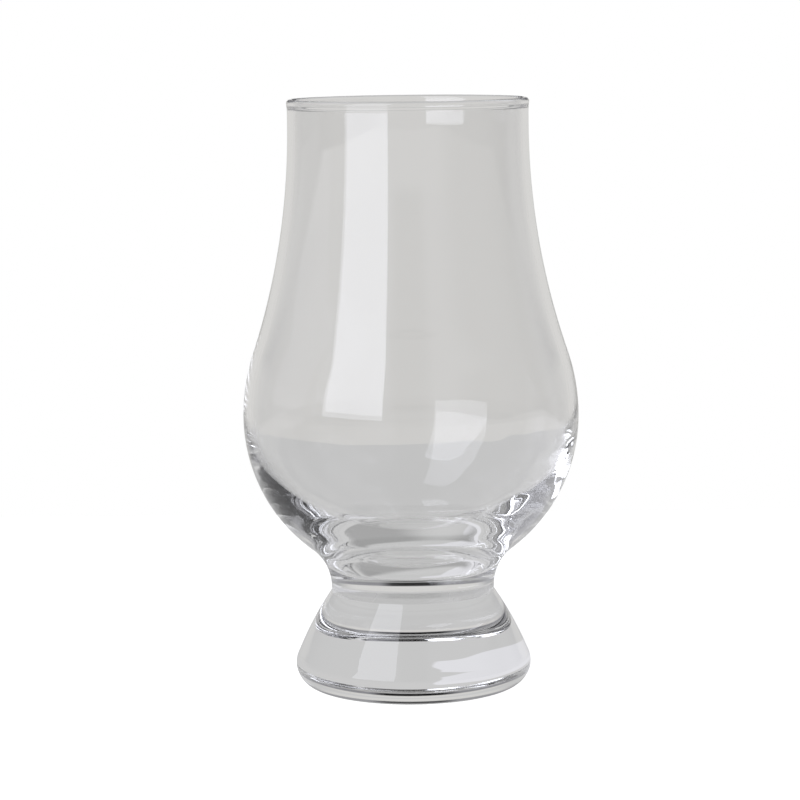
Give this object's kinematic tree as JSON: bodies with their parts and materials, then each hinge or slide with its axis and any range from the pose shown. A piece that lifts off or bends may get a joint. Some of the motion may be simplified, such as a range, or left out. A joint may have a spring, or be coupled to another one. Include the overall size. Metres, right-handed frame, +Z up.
{
  "type": "whisky nosing glass",
  "caption": "Clear tulip-shaped nosing glass: round belly, chimney narrowing to a melted rim, short neck and a flared solid foot.",
  "frame": {"origin": "middle of the foot's underside, on the table", "axes": "+Z up along the glass's axis of symmetry, towards the mouth; +X and +Y are free to choose on a turned shape, and the picture looks along +Y"},
  "size_m": [0.0654, 0.0654, 0.115],
  "materials": {
    "clear_glass": "fire-polished, smooth and clear"
  },
  "bodies": {
    "root": {"bowl": "clear_glass", "foot": "clear_glass"}
  },
  "joints": []
}
